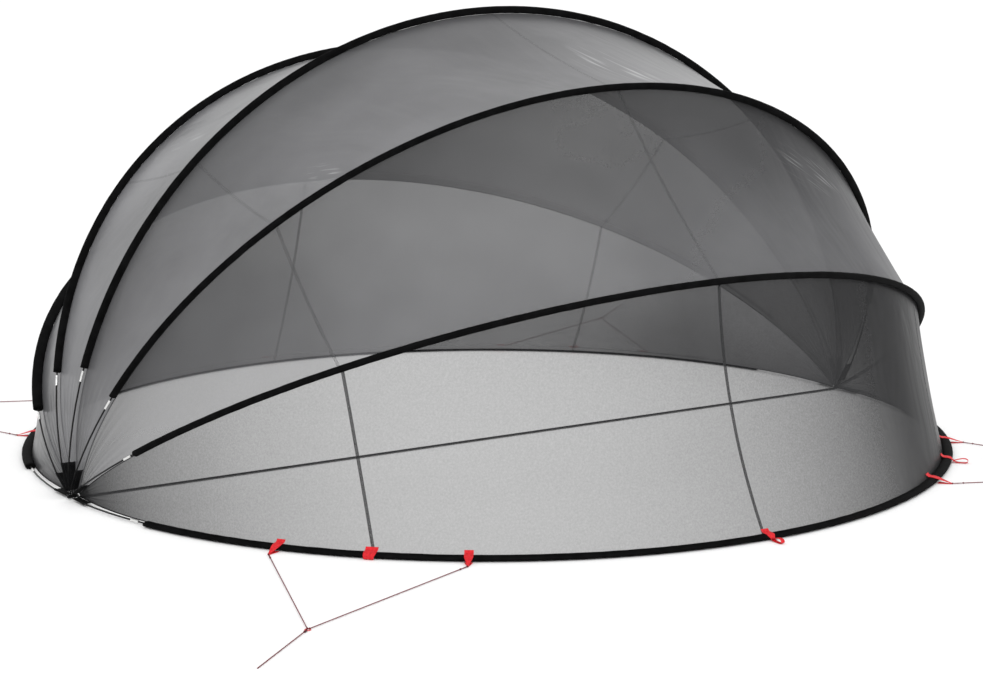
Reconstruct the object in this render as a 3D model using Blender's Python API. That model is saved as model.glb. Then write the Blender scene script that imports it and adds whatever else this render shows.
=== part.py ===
"""Pool dome: seven bowed poles fan out from one hinge pin on each side, and tinted film is stretched
between them. Two of the poles lie on the ground as the halves of a ring, and five stand as hoops.

Metres, +Z up. The hinge line runs along X, and the front, where the dome is lifted, faces -Y. Each hoop
is modelled flat, at its empty on the hinge line: local X along the line, -Y out from it, +Z towards the
next hoop back. The empty is then turned to the angle at which the hoop stands.
"""

import math

import bmesh
import bpy
from mathutils import Matrix, Vector

RING_RADIUS = 2.5
AXIS_HEIGHT = 0.015

# Name, angle up from the front ground in degrees, rise of the bow in ring radii, and sleeve width.
FRAMES = (
    ("ring_back", 180.0, 1.0, 0.056),
    ("hoop_e", 150.0, 0.952, 0.056),
    ("hoop_d", 119.0, 0.942, 0.046),
    ("hoop_c", 88.9, 0.936, 0.046),
    ("hoop_b", 58.8, 0.951, 0.046),
    ("hoop_a", 29.2, 0.965, 0.046),
    ("ring_front", 0.0, 1.0, 0.056),
)

POLE_DIAMETER = 0.009
POLE_SIDES = 6
POLE_STRAIGHT = 0.008
POLE_LEAD_TURNS = (7.5, 11.8)

SLEEVE_HEIGHT = 0.030
SLEEVE_START = 16.2
SLEEVE_STEPS = 28
SLEEVE_PLAY = 0.0006

SOCKET_REACH = 0.178
SOCKET_WIDTH = 0.042
SOCKET_THICKNESS = 0.0035
SOCKET_FOOT = 0.050
NECK_REACH = 0.040
SHEATH_RADIUS = 0.0065
SHEATH_LENGTH = 0.025
SHEATH_SIDES = 8
SHEATH_PROUD = 0.0001
BORE_DEPTH = 0.018
CUT_OVERRUN = 0.010
KNUCKLE_RADIUS = 0.010
KNUCKLE_WIDTH = 0.005
KNUCKLE_PITCH = 0.006
PIN_RADIUS = 0.005
PIN_PLAY = 0.0004
PIN_HEAD_RADIUS = 0.007
PIN_HEAD = 0.003
PIN_INSET = 0.0005
ROUND_STEPS = 12

FILM = 0.002
# Beside the bare rod the film's edge runs free, farther and farther in from the rod towards the hub.
FILM_CORNER_INSET = 0.058
FILM_FREE_TURNS = (0.35, 5.5, 10.8, 15.9)
FILM_SAG = 0.012
# The films of two neighbouring gores meet on the sleeve's flank inside the dome, one on each side of it.
SEW_GAP = 0.0004
SEW_ASIDE = 0.0006

STRAP_WIDTH = 0.028
STRAP_THICKNESS = 0.002
STRAP_LEVEL = 0.0056
STRAP_EYE = 0.004
STRAP_RISE = 0.026
GROUND_GAP = 0.0003

WEB_THICKNESS = 0.0016
# Side views of the webbing on the ring, from its inner end: out from the ring line, up from it, and width.
# Each band stands up a little along the film, and lies over the sleeve.
WRAP = (
    (-0.0320, 0.0290, 0.044),
    (-0.0180, 0.0154, 0.044),
    (0.0172, 0.0154, 0.044),
)
# Then it narrows to a cord, with one layer from the sleeve's top and one along the ground.
CORD_TAB = WRAP + (
    (0.0300, 0.0116, 0.042),
    (0.0900, -0.0082, 0.014),
    (0.1010, -0.0102, 0.009),
    (0.1010, -0.0130, 0.009),
    (0.0900, -0.0132, 0.014),
    (0.0300, -0.0132, 0.042),
)
# Or it holds a loop for a ground peg, which lies out flat on the ground.
PEG_TAB = WRAP + (
    (0.0296, 0.0062, 0.040),
    (0.0330, -0.0020, 0.026),
    (0.0600, 0.0040, 0.022),
    (0.0850, 0.0090, 0.022),
    (0.1050, 0.0060, 0.022),
    (0.1120, -0.0030, 0.022),
    (0.1050, -0.0115, 0.022),
    (0.0850, -0.0132, 0.022),
    (0.0600, -0.0120, 0.022),
    (0.0330, -0.0060, 0.026),
)
# The loop at the front left is bunched up against its sleeve.
BUNCHED_TAB = tuple((out, up, 0.062) for out, up, _ in WRAP) + (
    (0.0296, 0.0062, 0.060),
    (0.0380, 0.0040, 0.054),
    (0.0440, -0.0040, 0.050),
    (0.0400, -0.0120, 0.050),
    (0.0310, -0.0132, 0.050),
)
# Ground angles in degrees, from +X round through the back, and the way from there to the middle of the
# front or the back.
GUY_CENTRES = {
    "front_left": (225.0, 1),
    "front_right": (315.0, -1),
    "back_right": (45.0, 1),
    "back_left": (135.0, -1),
}
GUY_SPREAD = 10.6
GUY_RING_AT = 1.47
GUY_RING_ASIDE = 0.55
GUY_END_AT = 1.695
GUY_END_ASIDE = -0.2
GUY_RING = 0.013
GUY_RING_WIRE = 0.00175
CORD_DIAMETER = 0.004
CORD_SIDES = 6
CORD_START = (0.0995, -0.0115)
LEAD_LENGTH = 0.060
LEAD_DIAMETER = 0.0054
LEAD_KNOT = 0.0040
RING_KNOT = 0.0040
SLIDER = (0.018, 0.011, 0.006)
SLIDER_AT = 0.016
SLIDER_LIFT = 0.0003

COLOURS = {
    "pole": ((0.012, 0.012, 0.013), 0.35, 0.0),
    "sleeve": ((0.010, 0.010, 0.011), 0.75, 0.0),
    "socket": ((0.008, 0.008, 0.009), 0.65, 0.0),
    "pin": ((0.45, 0.45, 0.46), 0.30, 1.0),
    "film": ((0.16, 0.16, 0.17), 0.35, 0.0),
    "strap": ((0.04, 0.04, 0.045), 0.75, 0.0),
    "webbing": ((0.75, 0.02, 0.03), 0.60, 0.0),
}


def clear_scene():
    for old in list(bpy.data.objects):
        bpy.data.objects.remove(old, do_unlink=True)


def make_materials():
    made = {}
    for name, (colour, roughness, metallic) in COLOURS.items():
        material = bpy.data.materials.new(name)
        material.use_nodes = True
        shader = material.node_tree.nodes["Principled BSDF"]
        shader.inputs["Base Color"].default_value = (*colour, 1.0)
        shader.inputs["Roughness"].default_value = roughness
        shader.inputs["Metallic"].default_value = metallic
        made[name] = material
    return made


def add_object(name, mesh_data, material, parent=None):
    """Closes a bmesh into a named object with outward faces."""
    bmesh.ops.recalc_face_normals(mesh_data, faces=mesh_data.faces)
    mesh = bpy.data.meshes.new(name)
    mesh_data.to_mesh(mesh)
    mesh_data.free()
    mesh.materials.append(material)
    part = bpy.data.objects.new(name, mesh)
    bpy.context.scene.collection.objects.link(part)
    part.parent = parent
    return part


def use_modifier(part, operation, tool):
    """Joins or cuts with a hidden helper that shares the part's parent."""
    tool.hide_render = True
    tool.display_type = "WIRE"
    modifier = part.modifiers.new(f"{operation.lower()}_{tool.name}", "BOOLEAN")
    modifier.operation = operation
    modifier.object = tool
    modifier.solver = "EXACT"


def bow_point(turn, rise):
    """A point of a bow in its own plane, as (along the hinge line, out from it)."""
    return Vector((-RING_RADIUS * math.cos(turn), rise * math.sin(turn)))


def turn_at(reach, rise):
    return math.asin(reach / rise)


def sleeve_turns():
    start = math.radians(SLEEVE_START)
    step = (math.pi - 2 * start) / SLEEVE_STEPS
    return [start + i * step for i in range(SLEEVE_STEPS + 1)]


def outward_normals(path):
    """At each point, the normal away from the hinge line, lengthened at a bend to keep the width."""
    runs = [(b - a).normalized() for a, b in zip(path, path[1:])]
    normals = []
    for i in range(len(path)):
        before = runs[max(i - 1, 0)]
        after = runs[min(i, len(runs) - 1)]
        middle = (before + after).normalized()
        normal = Vector((-middle.y, middle.x))
        normals.append(normal / max(middle.dot(after), 0.5))
    return normals


def ring_of_vertices(mesh_data, point, normal, section):
    made = []
    for across, up in section:
        spot = point + normal * across
        made.append(mesh_data.verts.new((spot.x, -spot.y, up)))
    return made


def bridge(mesh_data, first, second):
    count = len(first)
    for i in range(count):
        j = (i + 1) % count
        mesh_data.faces.new((first[i], first[j], second[j], second[i]))


def sweep(path, outer, bore=None):
    """A closed bar along a flat path, or a tube where a bore is given."""
    mesh_data = bmesh.new()
    normals = outward_normals(path)
    shells = [section for section in (outer, bore) if section]
    ends = []
    for section in shells:
        rings = [ring_of_vertices(mesh_data, p, n, section) for p, n in zip(path, normals)]
        for first, second in zip(rings, rings[1:]):
            bridge(mesh_data, first, second)
        ends.append((rings[0], rings[-1]))
    if bore is None:
        for end in ends[0]:
            mesh_data.faces.new(end)
        return mesh_data
    for which in (0, 1):
        rim = edges_of(ends[0][which]) + edges_of(ends[1][which])
        bmesh.ops.triangle_fill(mesh_data, edges=rim, use_beauty=True)
    return mesh_data


def edges_of(loop):
    pairs = zip(loop, loop[1:] + loop[:1])
    found = []
    for first, second in pairs:
        shared = set(first.link_edges) & set(second.link_edges)
        found.append(shared.pop())
    return found


def polygon(radius, sides):
    turn = math.tau / sides
    return [(radius * math.cos(i * turn), radius * math.sin(i * turn)) for i in range(sides)]


def sleeve_section(width):
    half_width = width / 2
    half_height = SLEEVE_HEIGHT / 2
    shoulder = 0.6 * half_width
    flank = half_height / 3
    corner = [(half_width, flank), (shoulder, half_height)]
    upper = corner + [(-x, y) for x, y in reversed(corner)]
    return upper + [(x, -y) for x, y in reversed(upper)]


def pole_path(rise):
    """Out of the socket straight, then along the bow to the far socket."""
    foot_x = bow_point(turn_at(SOCKET_REACH, rise), rise).x
    foot = [Vector((foot_x, SOCKET_REACH - BORE_DEPTH)), Vector((foot_x, SOCKET_REACH + POLE_STRAIGHT))]
    lead = [bow_point(math.radians(t), rise) for t in POLE_LEAD_TURNS]
    near = foot + lead
    far = [Vector((-p.x, p.y)) for p in reversed(near)]
    return near + [bow_point(t, rise) for t in sleeve_turns()] + far


def rod_along(mesh_data, start, end, radius, sides):
    """A closed cylinder from one point to another."""
    run = Vector(end) - Vector(start)
    turn = run.to_track_quat("Z", "Y").to_matrix().to_4x4()
    turn.translation = (Vector(start) + Vector(end)) / 2
    bmesh.ops.create_cone(
        mesh_data,
        cap_ends=True,
        segments=sides,
        radius1=radius,
        radius2=radius,
        depth=run.length,
        matrix=turn,
    )


def helper(name, build, parent):
    mesh_data = bmesh.new()
    build(mesh_data)
    return add_object(name, mesh_data, None, parent)


def add_socket(name, side, place, rise, material, parent):
    """The flat socket that holds one pole end, hinged on the pin by a knuckle of its own."""
    foot_x = bow_point(turn_at(SOCKET_REACH, rise), rise).x
    outer_x = foot_x - SHEATH_RADIUS
    inner_x = outer_x + SOCKET_WIDTH
    knuckle_x = outer_x + KNUCKLE_WIDTH / 2 + place * KNUCKLE_PITCH
    half = SOCKET_THICKNESS / 2
    neck = (knuckle_x - KNUCKLE_WIDTH / 2, knuckle_x + KNUCKLE_WIDTH / 2)

    def blade(mesh_data):
        outline = (
            (neck[0], 0.0),
            (neck[0], NECK_REACH),
            (outer_x, SOCKET_FOOT),
            (outer_x, SOCKET_REACH),
            (inner_x, SOCKET_REACH),
            (inner_x, SOCKET_FOOT),
            (neck[1], NECK_REACH),
            (neck[1], 0.0),
        )
        corners = [mesh_data.verts.new((side * -x, -reach, -half)) for x, reach in outline]
        face = mesh_data.faces.new(corners)
        raised = bmesh.ops.extrude_face_region(mesh_data, geom=[face])["geom"]
        for vertex in raised:
            if isinstance(vertex, bmesh.types.BMVert):
                vertex.co.z = half

    def along_x(radius, low, high):
        def build(mesh_data):
            rod_along(mesh_data, (side * -low, 0, 0), (side * -high, 0, 0), radius, ROUND_STEPS)

        return build

    def along_pole(radius, low, high, sides):
        def build(mesh_data):
            x = side * -foot_x
            rod_along(mesh_data, (x, -low, 0), (x, -high, 0), radius, sides)

        return build

    mesh_data = bmesh.new()
    blade(mesh_data)
    socket = add_object(name, mesh_data, material, parent)
    sheath = along_pole(
        SHEATH_RADIUS,
        SOCKET_REACH - SHEATH_LENGTH,
        SOCKET_REACH + SHEATH_PROUD,
        SHEATH_SIDES,
    )
    bore = along_pole(
        POLE_DIAMETER / 2 + SLEEVE_PLAY,
        SOCKET_REACH - BORE_DEPTH - GROUND_GAP,
        SOCKET_REACH + CUT_OVERRUN,
        SHEATH_SIDES,
    )
    hole = along_x(PIN_RADIUS + PIN_PLAY, neck[0] - CUT_OVERRUN, neck[1] + CUT_OVERRUN)
    use_modifier(socket, "UNION", helper(f"{name}_knuckle", along_x(KNUCKLE_RADIUS, *neck), parent))
    use_modifier(socket, "UNION", helper(f"{name}_sheath", sheath, parent))
    use_modifier(socket, "DIFFERENCE", helper(f"{name}_bore", bore, parent))
    use_modifier(socket, "DIFFERENCE", helper(f"{name}_hole", hole, parent))


def add_pin(name, side, material, parent):
    """The hinge pin of one hub, turned, with a head at each end."""
    foot_x = -RING_RADIUS + PIN_INSET
    low = foot_x - PIN_HEAD
    high = foot_x + len(FRAMES) * KNUCKLE_PITCH + STRAP_EYE + 2 * PIN_HEAD
    mesh_data = bmesh.new()
    profile = (
        (low - PIN_HEAD, PIN_HEAD_RADIUS),
        (low, PIN_HEAD_RADIUS),
        (low, PIN_RADIUS),
        (high - PIN_HEAD, PIN_RADIUS),
        (high - PIN_HEAD, PIN_HEAD_RADIUS),
        (high, PIN_HEAD_RADIUS),
    )
    rings = []
    for x, radius in profile:
        spots = polygon(radius, ROUND_STEPS)
        rings.append([mesh_data.verts.new((side * -x, y, z)) for y, z in spots])
    for first, second in zip(rings, rings[1:]):
        bridge(mesh_data, first, second)
    mesh_data.faces.new(rings[0])
    mesh_data.faces.new(rings[-1])
    add_object(name, mesh_data, material, parent)


def film_edge(rise, sleeve_width):
    """The line that one film edge follows on a hoop, with its distance to the side of the hoop's plane."""
    free = [math.radians(t) for t in FILM_FREE_TURNS]
    turns = free + sleeve_turns() + [math.pi - t for t in reversed(free)]
    bow = [bow_point(t, rise) for t in turns]
    sewn_inset = sleeve_width / 2 + SEW_GAP
    line = []
    for i, (turn, point, normal) in enumerate(zip(turns, bow, outward_normals(bow))):
        is_free = min(i, len(turns) - 1 - i) < len(free)
        bare = 1 - math.degrees(min(turn, math.pi - turn)) / SLEEVE_START if is_free else 0.0
        inset = sewn_inset + (FILM_CORNER_INSET - sewn_inset) * bare ** 2
        beside = SOCKET_THICKNESS / 2 + SEW_GAP if is_free else SEW_ASIDE
        line.append((point - normal * inset, beside))
    return line


def add_film(name, lower, upper, material, parent):
    """One thin gore of film from the hoop in front to the hoop behind, drawn in a little between them."""
    edges = []
    for (_, angle, rise, sleeve_width), direction in ((lower, 1), (upper, -1)):
        line = film_edge(rise * RING_RADIUS, sleeve_width)
        normals = outward_normals([p for p, _ in line])
        edges.append((math.radians(angle), direction, line, normals))
    mesh_data = bmesh.new()
    skins = []
    for depth in (0.0, -FILM):
        rows = []
        for i in range(len(edges[0][2])):
            spots = []
            for angle, direction, line, normals in edges:
                point, beside = line[i]
                spot = point + normals[i].normalized() * depth
                aside = beside * direction
                y = -spot.y * math.cos(angle) + aside * math.sin(angle)
                z = spot.y * math.sin(angle) + aside * math.cos(angle)
                spots.append(Vector((spot.x, y, z)))
            middle = (spots[0] + spots[1]) / 2
            middle.yz *= 1 - FILM_SAG
            rows.append([mesh_data.verts.new(p) for p in (spots[0], middle, spots[1])])
        skins.append(rows)
    outer, inner = skins
    for rows in skins:
        for first, second in zip(rows, rows[1:]):
            for j in (0, 1):
                mesh_data.faces.new((first[j], first[j + 1], second[j + 1], second[j]))
    for i in range(len(outer) - 1):
        for j in (0, 2):
            mesh_data.faces.new((outer[i][j], outer[i + 1][j], inner[i + 1][j], inner[i][j]))
    for i in (0, -1):
        for j in (0, 1):
            mesh_data.faces.new((outer[i][j], outer[i][j + 1], inner[i][j + 1], inner[i][j]))
    add_object(name, mesh_data, material, parent)


def ring_surface(angle):
    """How far the faceted ring line lies from the centre at a ground angle in degrees."""
    turn = math.radians(angle % 180.0)
    turns = sleeve_turns()
    for first, second in zip(turns, turns[1:]):
        if first <= turn <= second:
            half = (second - first) / 2
            return RING_RADIUS * math.cos(half) / math.cos(turn - (first + second) / 2)
    return RING_RADIUS


def ring_frame(angle):
    """At a ground angle: a point of the ring line, the direction out, and the one along the ring."""
    turn = math.radians(angle)
    out = Vector((math.cos(turn), math.sin(turn), 0.0))
    along = Vector((-math.sin(turn), math.cos(turn), 0.0))
    return out * ring_surface(angle), out, along


def web_band(mesh_data, angle, side_view):
    """A band of webbing that follows its side view at one ground angle of the ring."""
    base, out, along = ring_frame(angle)
    line = [Vector((reach, up)) for reach, up, _ in side_view]
    rings = []
    for point, normal, (_, _, width) in zip(line, outward_normals(line), side_view):
        outer = point + normal * WEB_THICKNESS
        half = width / 2
        corners = ((point, -half), (point, half), (outer, half), (outer, -half))
        spots = [base + out * p.x + along * aside + Vector((0, 0, p.y)) for p, aside in corners]
        rings.append([mesh_data.verts.new(p) for p in spots])
    for first, second in zip(rings, rings[1:]):
        bridge(mesh_data, first, second)
    for end in (rings[0], rings[-1]):
        mesh_data.faces.new(end)


def add_loop_tab(name, angle, side_view, material, parent):
    """A band of webbing over the sleeve, with a loop for a ground peg."""
    mesh_data = bmesh.new()
    web_band(mesh_data, angle, side_view)
    add_object(name, mesh_data, material, parent)


def ground_point(angle, radius, height):
    turn = math.radians(angle)
    return Vector((radius * math.cos(turn), radius * math.sin(turn), height - AXIS_HEIGHT))


def ball_at(mesh_data, spot, radius):
    made = bmesh.ops.create_icosphere(mesh_data, subdivisions=1, radius=radius)["verts"]
    bmesh.ops.translate(mesh_data, verts=made, vec=spot)


def cord_between(mesh_data, start, end, diameter=CORD_DIAMETER):
    rod_along(mesh_data, start, end, diameter / 2, CORD_SIDES)


def ring_of_wire(mesh_data, middle):
    rings = []
    for x, y in polygon(1.0, ROUND_STEPS):
        out = Vector((x, y, 0.0))
        section = polygon(GUY_RING_WIRE, CORD_SIDES)
        spots = [middle + out * (GUY_RING + across) + Vector((0, 0, up)) for across, up in section]
        rings.append([mesh_data.verts.new(p) for p in spots])
    for first, second in zip(rings, rings[1:] + rings[:1]):
        bridge(mesh_data, first, second)


def add_guy_line(name, centre, inward, material, parent):
    """Two cords from their tabs to one small ring, and the tail that goes on to the peg."""
    ring_angle = centre + inward * GUY_RING_ASIDE
    end_angle = centre + inward * GUY_END_ASIDE
    middle = ground_point(ring_angle, GUY_RING_AT * RING_RADIUS, GUY_RING_WIRE + GROUND_GAP)
    end = ground_point(end_angle, GUY_END_AT * RING_RADIUS, CORD_DIAMETER / 2 + GROUND_GAP)
    lift = Vector((0, 0, RING_KNOT - GUY_RING_WIRE))
    outward = (end - middle).xy.normalized().to_3d()
    inside = CORD_DIAMETER / 3
    tail_knot = middle + outward * GUY_RING + lift
    slider_middle = tail_knot + (end - tail_knot).normalized() * SLIDER_AT
    tab_angles = (centre - GUY_SPREAD, centre + GUY_SPREAD)
    leads = []
    for angle in tab_angles:
        base, out, _ = ring_frame(angle)
        start = base + out * CORD_START[0] + Vector((0, 0, CORD_START[1]))
        run = middle + lift - start
        lead = start + run.normalized() * LEAD_LENGTH
        ring_knot = middle + lift - run.xy.normalized().to_3d() * GUY_RING
        leads.append((start, lead, ring_knot))

    def knots(mesh_data):
        ball_at(mesh_data, tail_knot, RING_KNOT)
        for _, lead, ring_knot in leads:
            ball_at(mesh_data, lead, LEAD_KNOT)
            ball_at(mesh_data, ring_knot, RING_KNOT)
        slider = bmesh.ops.create_cube(mesh_data, size=1.0)["verts"]
        bmesh.ops.scale(mesh_data, verts=slider, vec=SLIDER)
        turn = Matrix.Rotation(math.atan2(outward.y, outward.x), 3, "Z")
        bmesh.ops.rotate(mesh_data, verts=slider, matrix=turn)
        bmesh.ops.translate(mesh_data, verts=slider, vec=slider_middle + Vector((0, 0, SLIDER_LIFT)))

    def cords(mesh_data):
        run = (end - tail_knot).normalized()
        cord_between(mesh_data, tail_knot + run * inside, end)
        for start, lead, ring_knot in leads:
            run = (ring_knot - lead).normalized()
            cord_between(mesh_data, start, lead - run * inside, LEAD_DIAMETER)
            cord_between(mesh_data, lead + run * inside, ring_knot - run * inside)

    def tabs(mesh_data):
        for angle in tab_angles:
            web_band(mesh_data, angle, CORD_TAB)

    mesh_data = bmesh.new()
    ring_of_wire(mesh_data, middle)
    line = add_object(name, mesh_data, material, parent)
    for mark, build in (("knots", knots), ("cords", cords), ("tabs", tabs)):
        use_modifier(line, "UNION", helper(f"{name}_{mark}", build, parent))


def add_strap(material, parent):
    """The taut webbing that keeps the two hubs from spreading, with an eye on each pin."""
    eye_low = -RING_RADIUS + PIN_INSET + len(FRAMES) * KNUCKLE_PITCH + PIN_HEAD / 3
    low_z = STRAP_LEVEL - AXIS_HEIGHT
    high_z = STRAP_RISE - AXIS_HEIGHT
    half = STRAP_WIDTH / 2
    outline = [
        (eye_low, low_z),
        (eye_low, high_z),
        (eye_low + STRAP_EYE, high_z),
        (eye_low + STRAP_EYE, low_z + STRAP_THICKNESS),
    ]
    outline += [(-x, z) for x, z in reversed(outline)]
    mesh_data = bmesh.new()
    caps = []
    for y in (-half, half):
        caps.append([mesh_data.verts.new((x, y, z)) for x, z in outline])
    bridge(mesh_data, *caps)
    for cap in caps:
        mesh_data.faces.new(cap)
    strap = add_object("floor_strap", mesh_data, material, parent)
    for side, mark in ((1, "left"), (-1, "right")):

        def build(tool, side=side):
            start = (side * (eye_low - PIN_HEAD), 0, 0)
            end = (side * (eye_low + STRAP_EYE + PIN_HEAD), 0, 0)
            rod_along(tool, start, end, PIN_RADIUS + PIN_PLAY, ROUND_STEPS)

        use_modifier(strap, "DIFFERENCE", helper(f"strap_eye_{mark}", build, parent))


def main():
    clear_scene()
    materials = make_materials()
    axes = {}
    for place, (name, angle, share, sleeve_width) in enumerate(FRAMES):
        rise = share * RING_RADIUS
        axis = bpy.data.objects.new(f"{name}_axis", None)
        axis.location = (0.0, 0.0, AXIS_HEIGHT)
        axis.rotation_euler = (-math.radians(angle), 0.0, 0.0)
        bpy.context.scene.collection.objects.link(axis)
        axes[name] = axis
        pole = sweep(pole_path(rise), polygon(POLE_DIAMETER / 2, POLE_SIDES))
        add_object(f"{name}_pole", pole, materials["pole"], axis)
        bow = [bow_point(t, rise) for t in sleeve_turns()]
        bore = polygon(POLE_DIAMETER / 2 + SLEEVE_PLAY, POLE_SIDES)
        sleeve = sweep(bow, sleeve_section(sleeve_width), bore)
        add_object(f"{name}_sleeve", sleeve, materials["sleeve"], axis)
        for side, mark in ((1, "left"), (-1, "right")):
            add_socket(f"{name}_socket_{mark}", -side, place, rise, materials["socket"], axis)

    level = bpy.data.objects.new("hinge_line", None)
    level.location = (0.0, 0.0, AXIS_HEIGHT)
    bpy.context.scene.collection.objects.link(level)
    for side, mark in ((1, "left"), (-1, "right")):
        add_pin(f"hinge_pin_{mark}", -side, materials["pin"], level)
    add_strap(materials["strap"], level)
    for upper, lower in zip(FRAMES, FRAMES[1:]):
        add_film(f"film_{lower[0]}_to_{upper[0]}", lower, upper, materials["film"], level)
    for mark, (centre, inward) in GUY_CENTRES.items():
        side_view = BUNCHED_TAB if mark == "front_left" else PEG_TAB
        add_guy_line(f"guy_line_{mark}", centre, inward, materials["webbing"], level)
        add_loop_tab(f"loop_tab_{mark}", centre, side_view, materials["webbing"], level)
    add_loop_tab("loop_tab_front", 270.0, PEG_TAB, materials["webbing"], level)
    add_loop_tab("loop_tab_back", 90.0, PEG_TAB, materials["webbing"], level)


main()
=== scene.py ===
"""Pool dome: the looks of the dome of tinted film on bowed rods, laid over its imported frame.

Metres, +Z up. The hinge line runs along X at the height of the ring, and the front faces -Y. What belongs
to one hoop is modelled flat on the ring, with -Y outward, and is then turned up to the hoop's angle.
"""

import math

import bmesh
import bpy
from mathutils import Matrix, Vector, noise


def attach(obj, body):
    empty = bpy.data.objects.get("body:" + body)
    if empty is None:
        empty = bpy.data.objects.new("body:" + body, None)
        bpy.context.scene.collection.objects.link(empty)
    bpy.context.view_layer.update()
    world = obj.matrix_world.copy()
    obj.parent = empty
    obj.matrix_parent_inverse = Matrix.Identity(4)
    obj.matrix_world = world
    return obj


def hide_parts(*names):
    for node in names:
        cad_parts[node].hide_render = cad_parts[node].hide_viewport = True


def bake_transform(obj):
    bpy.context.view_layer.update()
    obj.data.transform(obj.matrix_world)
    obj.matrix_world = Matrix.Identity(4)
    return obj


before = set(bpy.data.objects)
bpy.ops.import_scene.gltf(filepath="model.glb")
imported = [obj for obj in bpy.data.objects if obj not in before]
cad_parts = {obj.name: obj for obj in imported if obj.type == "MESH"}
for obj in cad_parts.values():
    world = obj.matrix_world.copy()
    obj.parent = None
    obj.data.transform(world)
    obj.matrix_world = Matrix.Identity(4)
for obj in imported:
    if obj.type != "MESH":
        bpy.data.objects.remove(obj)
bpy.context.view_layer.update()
bpy.ops.object.select_all(action="DESELECT")

# The dome is looked at from its front left, from 15 m away and with a long lens, so that the ring lies
# nearly edge on. The middle of the view is half a metre above the ground.
VIEWED_FROM = (-8.18686, -12.89277, 3.54658)
LOOKED_AT = (0.02625, 0.0, 0.5504)
LENS = 104.36
bpy.ops.object.camera_add(location=VIEWED_FROM)
camera = bpy.context.object
camera.name = "view_from_front_left"
camera.data.lens = LENS
camera.data.sensor_width = 36.0
camera.data.clip_end = 200.0
line_of_sight = Vector(LOOKED_AT) - camera.location
camera.rotation_euler = line_of_sight.to_track_quat("-Z", "Y").to_euler()
bpy.context.scene.camera = camera

# The sleeves are tubes of black woven polyester, one sewn along each bow between its two ferrules. They
# are flattened by the pull of the film, a little rucked along their length, and gathered at both ends.
RING_RADIUS = 2.5
AXIS_HEIGHT = 0.015
SLEEVE_START = math.radians(16.2)
SLEEVE_WIDTH = 0.0425
SLEEVE_HEIGHT = 0.0270
SLEEVE_ROUND = 0.110
SLEEVE_SIDES = 24
SLEEVE_STEPS = 220
SLEEVE_RUCK = 0.0022
RUCK_SIZE = 0.045
# The gathered end of a sleeve in two steps: how far each draws in, and how far it stands out.
SLEEVE_GATHERS = ((0.006, 0.006), (0.004, 0.0015))
# Name, body, angle up from the front ground in degrees, and rise of the bow in metres.
HOOPS = (
    ("ring_front", "ring_front", 0.0, 2.5),
    ("hoop_a", "hoop_a", 29.2, 0.965 * 2.5),
    ("hoop_b", "hoop_b", 58.8, 0.951 * 2.5),
    ("hoop_c", "hoop_c", 88.9, 0.936 * 2.5),
    ("hoop_d", "hoop_d", 119.0, 0.942 * 2.5),
    ("hoop_e", "hoop_e", 150.0, 0.952 * 2.5),
    ("ring_back", "root", 180.0, 2.5),
)
# Width and height of each sleeve's cloth.
SLEEVE_SIZES = {
    "ring_front": (0.0550, 0.0280),
    "hoop_a": (0.0425, 0.0330),
    "hoop_b": (0.0425, 0.0270),
    "hoop_c": (0.0425, 0.0270),
    "hoop_d": (0.0425, 0.0270),
    "hoop_e": (0.0550, 0.0270),
    "ring_back": (0.0550, 0.0280),
}


def pick(*pieces):
    """Selects these pieces alone, with the first one active."""
    bpy.ops.object.select_all(action="DESELECT")
    for piece in pieces:
        piece.select_set(True)
    bpy.context.view_layer.objects.active = pieces[0]


def settle(piece):
    """Puts the piece's place into its mesh."""
    pick(piece)
    bpy.ops.object.transform_apply(location=True, rotation=True, scale=True)


def apply_all(piece):
    pick(piece)
    for modifier in list(piece.modifiers):
        bpy.ops.object.modifier_apply(modifier=modifier.name)


def copy_of(piece, name):
    twin = piece.copy()
    twin.data = piece.data.copy()
    twin.name = name
    bpy.context.scene.collection.objects.link(twin)
    return twin


def turn_up(piece, angle):
    """Turns a piece that lies on the ring up to its hoop, about the hinge line."""
    piece.rotation_euler = (-math.radians(angle), 0.0, 0.0)
    piece.location.z = AXIS_HEIGHT
    settle(piece)


def set_faces_out(piece):
    mesh_data = bmesh.new()
    mesh_data.from_mesh(piece.data)
    bmesh.ops.recalc_face_normals(mesh_data, faces=mesh_data.faces)
    mesh_data.to_mesh(piece.data)
    mesh_data.free()


def new_material(name, roughness, metallic=0.0):
    """A new material, with its node tree and its shader."""
    material = bpy.data.materials.new(name)
    material.use_nodes = True
    shader = material.node_tree.nodes["Principled BSDF"]
    shader.inputs["Roughness"].default_value = roughness
    shader.inputs["Metallic"].default_value = metallic
    return material, material.node_tree, shader


def feed(tree, socket, value):
    """Gives a socket its value, or a link where the value is another node's output."""
    if isinstance(value, bpy.types.NodeSocket):
        tree.links.new(value, socket)
    else:
        socket.default_value = value


def maths(tree, operation, *values, kind="ShaderNodeMath", output=0):
    """The output of a Math node, or of a Vector Math node where the kind says so."""
    node = tree.nodes.new(kind)
    node.operation = operation
    for socket, value in zip(node.inputs, values):
        feed(tree, socket, value)
    return node.outputs[output]


def noise_of(tree, place, scale, detail, distortion=0.0):
    """The value of soft noise over a place."""
    cloud = tree.nodes.new("ShaderNodeTexNoise")
    feed(tree, cloud.inputs["Vector"], place)
    feed(tree, cloud.inputs["Scale"], scale)
    feed(tree, cloud.inputs["Detail"], detail)
    feed(tree, cloud.inputs["Distortion"], distortion)
    return cloud.outputs["Fac"]


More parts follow.
